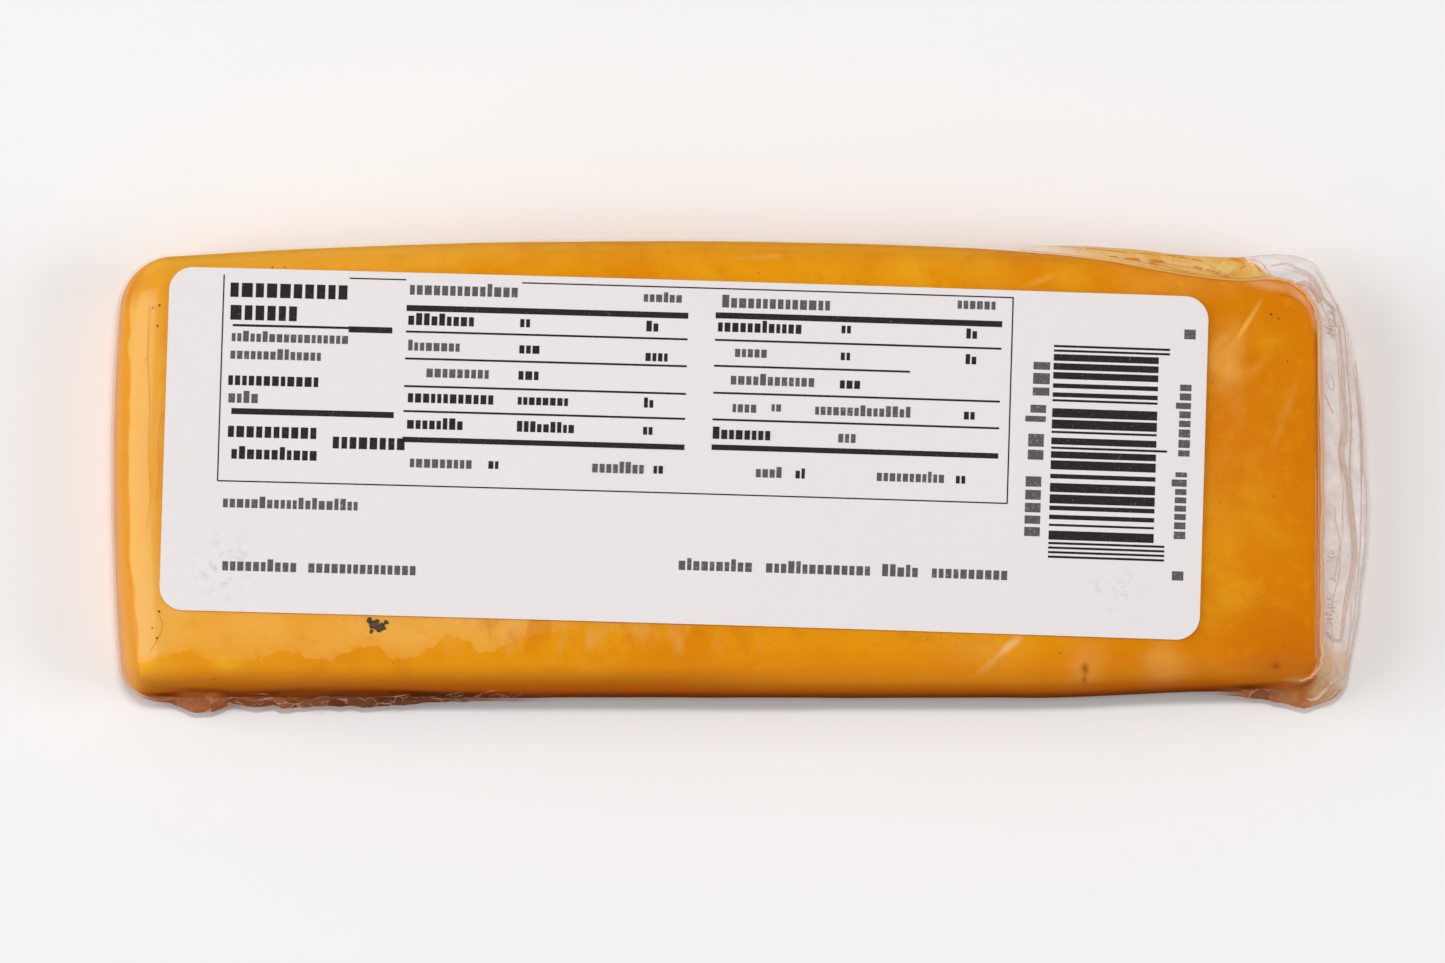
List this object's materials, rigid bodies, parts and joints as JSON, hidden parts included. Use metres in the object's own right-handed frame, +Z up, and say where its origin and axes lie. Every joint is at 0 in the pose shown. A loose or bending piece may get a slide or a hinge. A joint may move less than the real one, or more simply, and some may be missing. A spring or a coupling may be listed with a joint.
{
  "type": "vacuum-packed smoked gouda",
  "caption": "Long flat block of smoked gouda sealed in clear film, with spare film folded at one end and a paper label on top.",
  "frame": {"origin": "on the table, under the middle of the pack's box", "axes": "+X along the block towards the folded film tail, +Y across the top away from the front side, +Z up out of the label"},
  "size_m": [0.1846, 0.0698, 0.0203],
  "materials": {
    "cheese": "smooth orange smoked cheese seen through tight clear film",
    "label": "matte warm white coated paper",
    "film": "clear glossy vacuum film, hazy where it is folded",
    "ink": "black thermal print"
  },
  "bodies": {
    "root": {"vacuum_pack": "cheese", "label": "label"}
  },
  "joints": []
}
